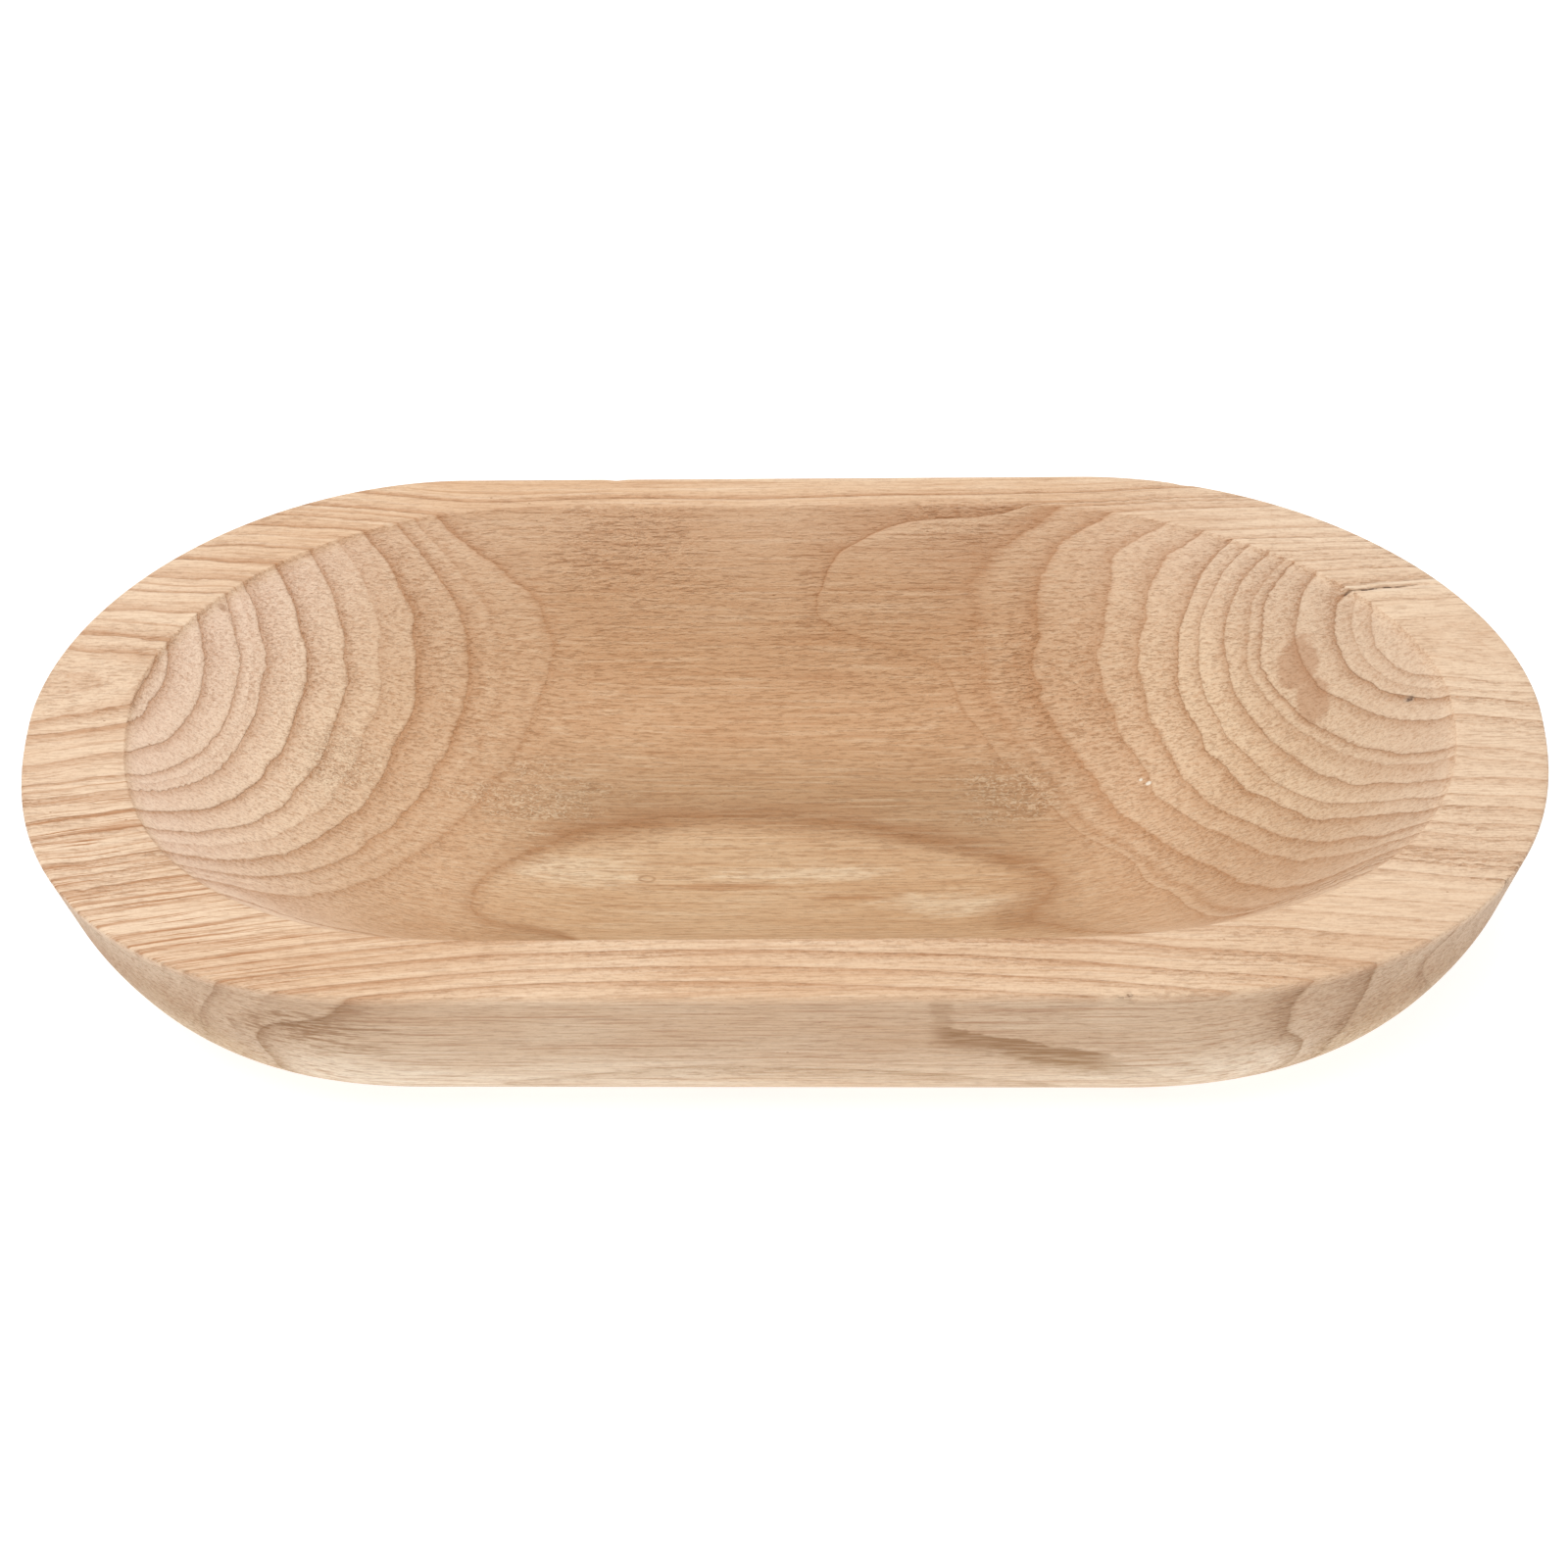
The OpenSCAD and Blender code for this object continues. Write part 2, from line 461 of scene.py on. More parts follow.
BENDS = [
    # place along and across, reach along and across, push outwards, 1 where the rim shows it too
    (-155, -85, 18, 25, 9, 0),
    (-118, -78, 26, 35, 15, 0),
    (-75, -80, 29, 36, 24, 0),
    (60, -53, 60, 30, 12, 0),
    (138, -101, 58, 42, 25.5, 0),
    (120, 100, 25, 15, 3, 0),
    (60, 60, 40, 15, 1, 0),
    (-110, 105, 35, 18, -4, 1),
    (30, 86, 40, 13, 2, 1),
    (-10, 98, 30, 12, -2, 1),
    (0, 38, 70, 16, 1.2, 1),
    (145, -15, 30, 35, -2, 1),
]
WALL_BENDS = [
    # on the front wall: place along and height, reach along and up, push outwards
    (-165, 46, 25, 18, -6),
    (75, 50, 25, 15, 0.3),
    (154, 48, 20, 20, 2.5),
    (182, 47, 15, 15, -2),
]
print("The log has", len(RINGS), "rings and", len(BENDS) + len(WALL_BENDS), "bends")

# %% [markdown]
# ## Distance from the pith
#
# The pith isn't quite straight: it swings by a few millimetres along the bowl, and at the right
# end the inner rings lie further back than the outer ones. Each bend takes a soft bump from the
# distance, which moves the rings there outwards. How fast the distance changes along the surface
# tells how flat a ring is cut.

# %% Distance from the pith
PITH_Z = 107
PITH_Y = 24.6
HALF_LOG = 200
BACK_SHIFT = 15


def near_bend(p, axis, along, middle, reach_x, reach):
    """How near each point is to a bend, from 0 to 1, along x and one other axis."""
    return np.exp(-((p[:, 0] - along) / reach_x) ** 2 - ((p[:, axis] - middle) / reach) ** 2)


def ring_radius(p):
    """Distance from the pith as the rings count it."""
    x = p[:, 0] / HALF_LOG
    y = p[:, 1]
    z = p[:, 2]
    pith_y = PITH_Y + 1.6 * x - 3.1 * x * x
    pith_z = PITH_Z - 7.8 * x - 6.8 * x * x
    off = 0
    for _ in range(3):
        r = np.hypot(y - pith_y - off, z - pith_z)
        off = BACK_SHIFT * ramp((76 - r) / 40) * ramp(x / 0.8)
    r = r * (1 + 0.044 * x - 0.082 * x * x)
    inside = ramp((BOWL_H - 1 - z) / 12) * ramp((y + 110) / 15)
    for along, across, reach_x, reach_y, push, on_rim in BENDS:
        near = near_bend(p, 1, along, across, reach_x, reach_y)
        r = r - push * near * np.maximum(inside, on_rim)
    return r


def ring_slope(p, normals):
    """How fast the rings pass along the surface: 1 square across them, 0 along them."""
    nudges = np.eye(3) * 0.5
    rise = np.column_stack([ring_radius(p + nudge) - ring_radius(p - nudge) for nudge in nudges])
    along_surface = rise - normals * (rise * normals).sum(axis=1)[:, None]
    return np.linalg.norm(along_surface, axis=1)


print("The pith lies", PITH_Z - BOWL_H, "mm above the middle of the rim")

# %% [markdown]
# ## Age, width and darkness of the rings
#
# No ring of a real log is smooth, so the distance also drifts a little, on a few scales, more at
# the right end and in the inner rings. The lists then turn distance into age, with a blend from
# the left end to the right end. All of it is worked out for each vertex and kept as attributes,
# because the same rings shape the relief and colour the wood.

# %% Age, width and darkness of the rings
def drift(p, size, seed):
    """A smooth wander in space: a few slanted waves, seeded, of about the given size."""
    dice = np.random.default_rng(seed)
    total = np.zeros(len(p))
    for _ in range(9):
        heading = dice.normal(size=3)
        heading /= np.linalg.norm(heading)
        pitch = size * dice.uniform(0.7, 1.5)
        total += np.sin(p @ heading * (2 * math.pi / pitch) + dice.uniform(0, 2 * math.pi))
    return total / 3


def growth(p, on_wall):
    """For points in mm: distance from the pith, ring age, ring width and ring darkness."""
    r = ring_radius(p)
    r += 0.3 * drift(p * (0.5, 1, 1), 60, 11) + 0.12 * drift(p * (0.4, 1, 1), 21, 12)
    r += 0.5 * drift(p * (0.6, 1, 1), 26, 14) * ramp((p[:, 0] - 60) / 60)
    r += 0.3 * drift(p * (0.6, 1, 1), 13, 15) * ramp((84 - r) / 8)
    for along, height, reach_x, reach_z, push in WALL_BENDS:
        near = near_bend(p, 2, along, height, reach_x, reach_z)
        r -= push * near * on_wall * (p[:, 1] < 0)
    left_radii, right_radii, *darks = np.array(RINGS, float).T
    ages = np.arange(len(RINGS))
    to_right = ramp((p[:, 0] + HALF_LOG) / (2 * HALF_LOG))
    left_age = np.interp(r, left_radii, ages)
    right_age = np.interp(r, right_radii, ages)
    age = left_age + (right_age - left_age) * to_right
    width = np.interp(age, ages, np.gradient(left_radii))
    dark_left, dark_right, wall_left, wall_right = [np.interp(age, ages, dark) for dark in darks]
    inside = dark_left + (dark_right - dark_left) * to_right
    beside_oval = ramp((BOWL_H - 1 - p[:, 2]) / 6) * ramp((age - 15.3) / 0.7)
    inside = inside * (1 - 0.8 * beside_oval)
    outside = wall_left + (wall_right - wall_left) * ramp((p[:, 0] + 20) / 100)
    return r, age, width, inside + (outside - inside) * on_wall


outer_wall = ramp((0.02 - normals[:, 2]) / 0.06)
from_pith, age, width, darkness = growth(points, outer_wall)
slope = ring_slope(points, normals)
print("Rings from", round(float(age.min()), 1), "to", round(float(age.max()), 1))

# %% [markdown]
# ## Relief
#
# Sanding bites deeper into the soft, porous wood that starts each ring than into the hard wood
# that ends it. Where the scoop cuts across the log, each ring therefore ends in a little step
# that casts a shadow. Bump alone would leave the edge of the rim and the silhouette straight, so
# the steps are cut into the mesh, and the material only sharpens them.

# %% Cut the relief
STEP_DEPTH = 0.75
DIP_START = 0.7
DIP_LENGTH = 3
LIP_SHARE = 0.3
LIP_LENGTH = 1.2
normals = read_mesh("normal")
past_line = (age - np.floor(age)) * width
to_line = width - past_line
dip = np.exp(-past_line / DIP_LENGTH) * ramp(past_line / DIP_START)
step = dip - LIP_SHARE * np.exp(-to_line / LIP_LENGTH)
across_grain = np.clip(np.abs(normals[:, 0]) / 0.5, 0, 1)
in_scoop = ramp((BOWL_H - 0.5 - points[:, 2]) / 2) * ramp((normals[:, 2] - 0.02) / 0.1)
relief = -STEP_DEPTH * darkness * step * (0.15 + 0.85 * across_grain) * in_scoop
points = points + normals * relief[:, None]
bowl_mesh.vertices.foreach_set("co", (points * MM).ravel())
bowl_mesh.polygons.foreach_set("use_smooth", [True] * len(bowl_mesh.polygons))
bowl_mesh.update()
print("Relief down to", round(float(relief.min()), 2), "mm")

# %% [markdown]
# ## Numbers kept for the finish
#
# A material can't ask the ring field anything, but it can read numbers that the mesh keeps for
# each vertex. The ring slope stays a little above zero, because the finish divides by it.

# %% Keep the numbers
LEAST_SLOPE = 0.06
kept = {
    "from_pith": from_pith,
    "ring_age": age,
    "ring_width": width,
    "ring_darkness": darkness,
    "ring_slope": np.clip(slope, LEAST_SLOPE, 1),
    "end_cut": ramp(np.abs(normals[:, 0]) / 0.6) * in_scoop,
    "outer_wall": outer_wall,
    "pit": pit,
    "crack": crack,
    "crack_edge": np.exp(-((off_crack - 1.6) / 0.9) ** 2) * high_up,
}
for name, values in kept.items():
    layer = bowl_mesh.attributes.new(name, "FLOAT", "POINT")
    layer.data.foreach_set("value", values.astype(np.float32))
print("Kept for the finish:", ", ".join(kept))

# %% [markdown]
# ## Helpers for materials
#
# A finish is a small tree of nodes. Writing it as sums reads better than wiring it by hand, so a
# Wire wraps one socket, and the usual operators add Math nodes. A Finish holds the material and
# adds every other kind of node by one method. Its patterns are laid out in millimetres.

# %% Helpers for materials
def linear(r, g, b):
    """A colour picked in sRGB, 0 to 255, as the linear colour that shaders expect."""
    parts = [c / 255 for c in (r, g, b)]
    parts = [p / 12.92 if p <= 0.04045 else ((p + 0.055) / 1.055) ** 2.4 for p in parts]
    return (*parts, 1)


class Wire:
    """One socket of a node tree, on which sums are written as in plain Python."""

    def __init__(self, finish, socket):
        self.finish = finish
        self.socket = socket

    def sum(self, operation, *others):
        """A Math node on this socket and any others."""
        values = dict(enumerate((self,) + others))
        return self.finish.node("ShaderNodeMath", {"operation": operation}, values)

    def __add__(self, other):
        return self.sum("ADD", other)

    __radd__ = __add__

    def __sub__(self, other):
        return self.sum("SUBTRACT", other)

    def __rsub__(self, other):
        return self.finish.node("ShaderNodeMath", {"operation": "SUBTRACT"}, {0: other, 1: self})

    def __mul__(self, other):
        return self.sum("MULTIPLY", other)

    __rmul__ = __mul__

    def __truediv__(self, other):
        return self.sum("DIVIDE", other)

    def fraction(self):
        return self.sum("FRACT")

    def exp(self):
        return self.sum("EXPONENT")

    def larger(self, other):
        return self.sum("MAXIMUM", other)

    def rise(self, low, high):
        """0 below low, 1 above high, smooth between. High may be the smaller one."""
        settings = {"interpolation_type": "SMOOTHSTEP", "clamp": True}
        ends = (low, high, 0, 1) if low < high else (high, low, 1, 0)
        values = {0: self, 1: ends[0], 2: ends[1], 3: ends[2], 4: ends[3]}
        return self.finish.node("ShaderNodeMapRange", settings, values)


class Finish:
    """A material and the nodes that make it."""

    def __init__(self, name):
        self.material = bpy.data.materials.new(name)
        self.material.use_nodes = True
        self.nodes = self.material.node_tree.nodes
        self.links = self.material.node_tree.links
        self.nodes.clear()

    def node(self, kind, settings=None, sockets=None, out=0):
        """Adds a node, sets it up, sets or links its sockets, and gives one of its outputs."""
        node = self.nodes.new(kind)
        for key, value in (settings or {}).items():
            setattr(node, key, value)
        for key, value in (sockets or {}).items():
            if isinstance(value, Wire):
                self.links.new(value.socket, node.inputs[key])
            else:
                node.inputs[key].default_value = value
        return Wire(self, node.outputs[out]) if node.outputs else node

    def attribute(self, name):
        """A number that the mesh keeps for each vertex."""
        return self.node("ShaderNodeAttribute", {"attribute_name": name}, out="Fac")

    def scaled(self, vector, x, y, z, shift=(0, 0, 0)):
        """Coordinates in which a pattern of size 1 becomes x, y and z mm long."""
        scale = (1 / (x * MM), 1 / (y * MM), 1 / (z * MM))
        return self.node("ShaderNodeMapping", None, {0: vector, 1: shift, 3: scale})

    def noise(self, vector, detail=2, roughness=0.5, distortion=0):
        """Soft noise of size 1 in the given coordinates."""
        return self.node("ShaderNodeTexNoise", None, {
            "Vector": vector, "Scale": 1, "Detail": detail, "Roughness": roughness,
            "Distortion": distortion})

    def off(self, vector, centre, reach):
        """How far a point lies from a centre: 1 at the skin of an ellipsoid of the given reach."""
        scale = tuple([1 / (r * MM) for r in reach])
        shift = tuple([-c / r for c, r in zip(centre, reach)])
        local = self.node("ShaderNodeMapping", None, {0: vector, 1: shift, 3: scale})
        return self.node("ShaderNodeVectorMath", {"operation": "LENGTH"}, {0: local}, out="Value")

    def mix(self, share, a, b, blend="MIX"):
        """A colour part of the way from a to b."""
        settings = {"data_type": "RGBA", "blend_type": blend, "clamp_factor": True}
        return self.node("ShaderNodeMix", settings, {0: share, 6: a, 7: b}, out=2)


print("Helpers ready")

# %% [markdown]
# ## The finish: bare sanded wood
#
# The wood has no varnish. Its colour comes in layers: a pale ground that drifts from straw to
# tan, fine streaks along the fibres, a brown line where each ring starts, a grainy zone of open
# pores past each line, and pores that show as dashes where the surface runs along the fibres
# and as specks where it cuts across them. Stretched noise in space gives that by itself. The
# parts of the bowl take the layers differently, so the first nodes tell the parts apart, from
# the kept attributes and from the place on the bowl in metres.

# %% Parts of the bowl
wood = Finish("bare_wood")
place = wood.node("ShaderNodeTexCoord", out="Object")
x = wood.node("ShaderNodeSeparateXYZ", None, {0: place}, out="X")
y = Wire(wood, x.socket.node.outputs["Y"])
z = Wire(wood, x.socket.node.outputs["Z"])
off_middle = x.sum("ABSOLUTE")
outer = wood.attribute("outer_wall")
end_cut = wood.attribute("end_cut")
on_top = z.rise(0.0735, 0.0748) * (1 - outer)
on_front = outer * y.rise(-0.06, -0.09)
deep = z.rise(0.074, 0.03) * y.rise(-0.108, -0.1)
ends = off_middle.rise(0.13, 0.235)
right_part = x.rise(0.1, 0.2)
print("Nodes that tell the parts apart:", len(wood.nodes))

# %% [markdown]
# ## Ring lines
#
# A ring starts with a row of open pores. It shows as a brown line, crisp on its inner side and
# fading outwards, and the hard wood that ends the ring before it shows as a pale lip, lightened
# further by a painted highlight where the lip stands up. Noise bends the ring age a little first,
# so that no line is cleaner than a real one. Low in the scoop and on the outer wall the surface
# nearly follows the rings, and there the lines spread into soft bands with gaps.

# %% Ring lines
coarse_wander = wood.noise(wood.scaled(place, 30, 8, 8), detail=2) - 0.5
fine_wander = wood.noise(wood.scaled(place, 5, 1.6, 1.6, shift=(7, 3, 1)), detail=2) - 0.5
pith_distance = wood.attribute("from_pith")
inner_rings = pith_distance.rise(88, 80)
wander = coarse_wander * (1 - outer * 0.5) + fine_wander * (0.35 + inner_rings * 0.3)
ring_width = wood.attribute("ring_width")
ring_darkness = wood.attribute("ring_darkness")
ring_age = wood.attribute("ring_age") + wander / ring_width
past = ring_age.fraction() * ring_width
ahead = ring_width - past
soft = ring_age.rise(12.4, 13.2) * deep
steep = soft * 0.3 / wood.attribute("ring_slope")
after_start = (past * (outer * 0.65 + soft * 0.2 - 1.1 - steep)).exp()
before_start = (ahead * (soft * 4.2 - 5 - steep)).exp()
broken = wood.noise(wood.scaled(place, 12, 0.9, 0.9, shift=(8, 8, 1)), detail=2).rise(0.35, 0.6)
unbroken = 1 - soft * 0.1 - (soft + outer) * broken * 0.5
line = after_start.larger(before_start) * ring_darkness * unbroken
line = line * (1 - on_top * x.rise(0.08, 0.2) * 0.5)
zone = (past * -0.3).exp() * ring_darkness * (1 - soft * 0.6)
# The pale lip is partly harder wood and partly a painted highlight on the raised edge of the ring.
lip_and_highlight = (ahead * -0.5).exp() * ring_darkness * (end_cut * 0.9 + 0.1)
print("Nodes with the ring lines:", len(wood.nodes))

# %% [markdown]
# ## Streaks, pores and fuzz
#
# The fibres run along the log, so most of the grain is noise stretched along x. The flat rim cuts
# the rings lengthwise, and its streaks follow them: their noise is laid out along the bowl and by
# the distance from the pith. Where curly fibres come to the surface beside the floor, a twisted
# noise gives ripples.

# %% Streaks, pores and fuzz
ring_way = pith_distance + coarse_wander + fine_wander * 0.3


def ring_streaks(length, width, shift, detail, roughness):
    """Streaks of the given length and width in mm that follow the rings."""
    laid_out = {0: x / (length * MM), 1: ring_way / width, 2: shift}
    vector = wood.node("ShaderNodeCombineXYZ", None, laid_out)
    return wood.noise(vector, detail=detail, roughness=roughness)


rim_streaks = ring_streaks(80, 1.3, 0.0, 3, 0.65)
fine_streaks = ring_streaks(35, 0.5, 5.0, 2, 0.6)
patches = wood.noise(wood.scaled(place, 90, 35, 35), detail=3)
streaks = wood.noise(wood.scaled(place, 45, 1.3, 1.3, shift=(2, 5, 9)), detail=3, roughness=0.65)
ripples = wood.noise(wood.scaled(place, 2.6, 1.5, 1.5, shift=(9, 2, 4)), detail=1, distortion=2)
pores = wood.noise(wood.scaled(place, 5, 0.8, 0.8, shift=(4, 1, 3)), detail=2, roughness=0.6)
fibres = wood.noise(wood.scaled(place, 20, 0.5, 0.5, shift=(6, 1, 3)), detail=2, roughness=0.6)
fuzz = wood.noise(wood.scaled(place, 1.6, 0.75, 0.75, shift=(1, 8, 2)), detail=2, distortion=0.6)
rough = wood.noise(wood.scaled(place, 55, 40, 40, shift=(3, 3, 3)), detail=2).rise(0.42, 0.62)
gaps = wood.noise(wood.scaled(place, 2.5, 2, 2, shift=(5, 5, 5)), detail=1).rise(0.42, 0.56)
dots = wood.node("ShaderNodeTexVoronoi", None, {"Vector": wood.scaled(place, 14, 9, 9), "Scale": 1})
dots = dots.rise(0.045, 0.02)
print("Nodes with the grain patterns:", len(wood.nodes))

# %% [markdown]
# ## Spots in the wood
#
# Some marks of the real bowl lie in one place only: a brown patch high in the right slope, pale
# and brown hearts in the long oval on the floor, rippled zones beside the floor, two small eyes
# and two white specks. Each is a soft ellipsoid in space, with an edge that wanders with the
# grain.

# %% Spots in the wood
def spots(places, blur, low=0.3):
    """Soft spots of colour with wandering edges, from the middle and the reach of each in mm."""
    total = None
    for centre, reach in places:
        spot = (wood.off(place, centre, reach) + blur).rise(1, low)
        total = spot if total is None else total.larger(spot)
    return total


wide_blur = coarse_wander * 1.5 + fine_wander
small_blur = coarse_wander * 0.6 + fine_wander * 0.5
brown_patch = spots([
    ((176, 46, 56), (7.5, 11, 24)),
    ((180, 31, 51), (6.5, 10, 24))], small_blur, 0.7)
pale_heart = spots([
    ((-72, -13, 15), (36, 9, 20)),
    ((5, -14, 14), (38, 6, 20)),
    ((64, -31, 17), (34, 9, 20))], wide_blur)
brown_heart = spots([
    ((-22, -20, 15), (28, 2.5, 20)),
    ((20, -26, 16), (20, 2.5, 20))], wide_blur)
rippled = spots([
    ((-91, 21, 16), (34, 17, 20)),
    ((-150, 20, 35), (24, 20, 22)),
    ((79, 24, 15), (28, 16, 20))], wide_blur)
specks = spots([
    ((125, 20, 23), (1.3, 1, 3)),
    ((122.5, 22.3, 23), (0.8, 0.7, 3))], 0, 0.5)
left_eye = wood.off(place, (-193, 59, 72), (1.8, 1.3, 4))
front_eye = wood.off(place, (-47, -16, 15), (3.2, 1.8, 4))
eyes = left_eye.rise(1.1, 0.6).larger((front_eye - 0.8).sum("ABSOLUTE").rise(0.3, 0.05))
print("Nodes with the spots:", len(wood.nodes))

# %% [markdown]
# ## Bands and tones
#
# The floor of the scoop is darker round the long oval: partly a wide brown ring that comes to the
# surface there, and partly painted shade of the hollow, laid on as a darker, warmer tone low in the
# scoop. The front of the scoop and the right slope get masks for painted shade too. On the front
# wall a ring shows three times: as a shade at the left, as a slanted band right of the middle that
# turns up to the rim, and as a thin line along the foot.

# %% Bands and tones
in_oval = ring_age.rise(15.0, 15.4) * deep
# Partly the wood's own darker tone, partly painted shade of the hollow, low in the scoop.
low_tone_and_shade = deep * ring_age.rise(7, 12) * (1 - in_oval)
above_oval = deep * ring_age.rise(14.65, 15) * (1 - in_oval)
above_oval = above_oval * off_middle.rise(0.11, 0.07) * y.rise(0.03, 0.01)
# Painted shade on the front of the scoop.
front_painted_shade = deep * y.rise(0.06, 0.02) * off_middle.rise(0.12, 0.06) * (1 - in_oval * 0.6)
left_slope = x.rise(-0.13, -0.19) * z.rise(0.0745, 0.07) * (1 - outer)
# Painted shade on the right slope of the scoop.
right_slope_shade = x.rise(0.12, 0.19) * z.rise(0.0748, 0.071) * (1 - outer)
left_front = x.rise(-0.1, -0.18) * y.rise(-0.01, -0.05)
back_right = x.rise(0.08, 0.16) * y.rise(0.05, 0.09) * (1 - deep)
below_band_top = (0.0715 - x * 0.33 - z) / MM + wander * 22
middle_band = below_band_top.rise(-1, 1) * below_band_top.rise(16, 6)
middle_band = middle_band * x.rise(0.043, 0.053) * x.rise(0.114, 0.094)
turned_up = (x / MM - 50 + wander * 14).sum("ABSOLUTE").rise(4.5, 1.5) * below_band_top.rise(2, -1)
middle_band = middle_band.larger(turned_up * 0.45) * on_front
left_shade = spots([((-148, -116, 50), (34, 14, 15))], wide_blur) * on_front
foot_line = (z / MM - 12 + coarse_wander * 6).sum("ABSOLUTE").rise(2.2, 0.4)
foot_line = foot_line * x.rise(-0.02, -0.06) * on_front
streaky = on_top * (1 - right_part * 0.5)
print("Nodes with the bands and tones:", len(wood.nodes))

# %% [markdown]
# ## Laying on the colours
#
# Each layer is a share and a colour, mixed over what lies below, as a painter glazes. The broad
# tones come first, then the streaks, the pores and the ring lines, and last the tints and the
# single marks.

# %% Broad tones
STRAW = linear(240, 209, 175)
TAN = linear(228, 190, 152)
# Partly the wood's own tan, partly painted shade of the hollow.
LOW_TAN_AND_SHADE = linear(200, 152, 112)
PALE = linear(248, 224, 196)
PINK = linear(250, 222, 198)
RING_BROWN = linear(184, 127, 82)


def layered(colour, layers, blend="MIX"):
    """Lays colours over a first one, each by its own share."""
    for share, shade in layers:
        colour = wood.mix(share, colour, shade, blend)
    return colour


colour = wood.mix(patches.rise(0.3, 0.7), STRAW, TAN)
colour = layered(colour, [
    (ends * (0.5 - deep * 0.45), PALE),
    (back_right * 0.6, PALE),
    # Low tan over the oval and the lower scoop: partly the wood's tone, partly painted shade.
    (in_oval * 0.45, LOW_TAN_AND_SHADE),
    (pale_heart * (0.35 + broken * 0.3), PALE),
    (brown_heart * 0.6, RING_BROWN),
    (low_tone_and_shade * 0.75, LOW_TAN_AND_SHADE),
    (above_oval * (0.3 + broken * 0.45), RING_BROWN),
    (end_cut * (0.5 - right_part * 0.3), PINK),
    (left_slope * 0.95, PINK)])
print("Nodes with the broad tones:", len(wood.nodes))

# %% [markdown]
# ## Grain over the tones
#
# Streaks lighten and darken the rim and the rest apart. Past each ring line the open pores show
# as dashes along the fibres, and the sanded ends of cut fibres as fuzz.

# %% Streaks, dashes and ring lines
PORE_BROWN = linear(165, 116, 78)
PATCH_BROWN = linear(198, 150, 114)
BAND_BROWN = linear(166, 120, 72)
dash_share = zone * (0.3 + rough * 0.3) * (1 - end_cut * 0.6) + 0.17 + deep * 0.2 + outer * 0.1
dashes = pores.rise(0.5, 0.68) * dash_share
fuzz_grain = fuzz.rise(0.48, 0.66) * (zone * (0.2 + rough * 0.25) + 0.1) * (1 - brown_patch * 0.7)
dark_streaks = streaks.rise(0.5, 0.3) * (1 - on_top) * (0.32 + outer * 0.3 + deep * 0.12)
line_share = line * (0.7 + outer * 0.25 - end_cut * 0.1)
colour = layered(colour, [
    (rim_streaks.rise(0.5, 0.7) * streaky * 0.4, PALE),
    (rim_streaks.rise(0.52, 0.3) * (0.4 + left_front * 0.5) * streaky, RING_BROWN),
    (fine_streaks.rise(0.54, 0.7) * (0.3 + left_front * 0.9) * streaky, RING_BROWN),
    (streaks.rise(0.5, 0.7) * (1 - on_top) * 0.3, PALE),
    (dark_streaks, RING_BROWN),
    # Partly the pale hard wood, partly a painted highlight on the raised lip.
    (lip_and_highlight * 0.4, PALE),
    (zone * 0.3, RING_BROWN),
    (brown_patch * 0.65, PATCH_BROWN),
    (dashes, PORE_BROWN),
    (fibres.rise(0.5, 0.7) * (0.3 + outer * 0.15 + deep * 0.1), PORE_BROWN),
    (fuzz_grain, RING_BROWN),
    (rippled * ripples.rise(0.5, 0.58) * 0.3, PORE_BROWN),
    (rippled * ripples.rise(0.48, 0.4) * 0.35, PALE),
    (line_share, wood.mix(outer, RING_BROWN, BAND_BROWN)),
    (middle_band * (0.5 + broken * 0.45), BAND_BROWN),
    (left_shade * streaks.rise(0.55, 0.42) * 0.7, BAND_BROWN),
    (foot_line * 0.4, BAND_BROWN),
    (eyes * 0.5, PORE_BROWN),
    (dots * 0.7, PORE_BROWN)])
print("Nodes with the grain laid on:", len(wood.nodes))

# %% [markdown]
# ## Painted shade and light, and single marks
#
# The scoop and the outer wall get painted shade: tints multiply the colour there, a light warm one
# deep in the scoop, and darker ones at the front of the scoop, on the right slope and on the wall.
# Low on the wall a tint lightens and greys the colour as painted bounce light and reflection of the
# white table. The crack shows a pale edge where the sanding rounded it, and it is dark only where
# it gapes. The pit is a weathered grey with a dark core.

# %% Painted shade and light, and single marks
# Painted warm shade deep in the scoop.
DEEP_SHADE_TINT = (0.985, 1.0, 0.945, 1)
# Painted shade on the front of the scoop.
FRONT_SHADE_TINT = (0.79, 0.8, 0.79, 1)
# Painted shade on the right slope.
RIGHT_SHADE_TINT = (0.87, 0.86, 0.85, 1)
# Painted shade on the outer wall.
WALL_SHADE_TINT = (0.77, 0.76, 0.75, 1)
# Painted bounce light and reflection of the white table on the lower wall.
LOW_WALL_BOUNCE_LIGHT = (1.38, 1.6, 1.85, 1)
CRACK_BROWN = linear(80, 56, 42)
PIT_GREY = linear(196, 172, 148)
SPECK_WHITE = linear(240, 230, 212)
pit_share = wood.attribute("pit")
crack_share = wood.attribute("crack").rise(0.3, 0.9)
# Painted shade and painted bounce light, multiplied into the colour.
colour = layered(colour, [
    (deep, DEEP_SHADE_TINT),
    (front_painted_shade, FRONT_SHADE_TINT),
    (right_slope_shade, RIGHT_SHADE_TINT),
    (outer, WALL_SHADE_TINT),
    (outer * z.rise(0.048, 0.018), LOW_WALL_BOUNCE_LIGHT)], blend="MULTIPLY")
colour = layered(colour, [
    (wood.attribute("crack_edge") * streaks.rise(0.45, 0.55) * 0.7, PALE),
    (crack_share * (0.35 + gaps * 0.6), CRACK_BROWN),
    (pit_share.rise(0.2, 0.5) * 0.5, PIT_GREY),
    (pit_share.rise(0.6, 0.85) * (0.3 + pores.rise(0.4, 0.55) * 0.6), CRACK_BROWN),
    (specks, SPECK_WHITE)])
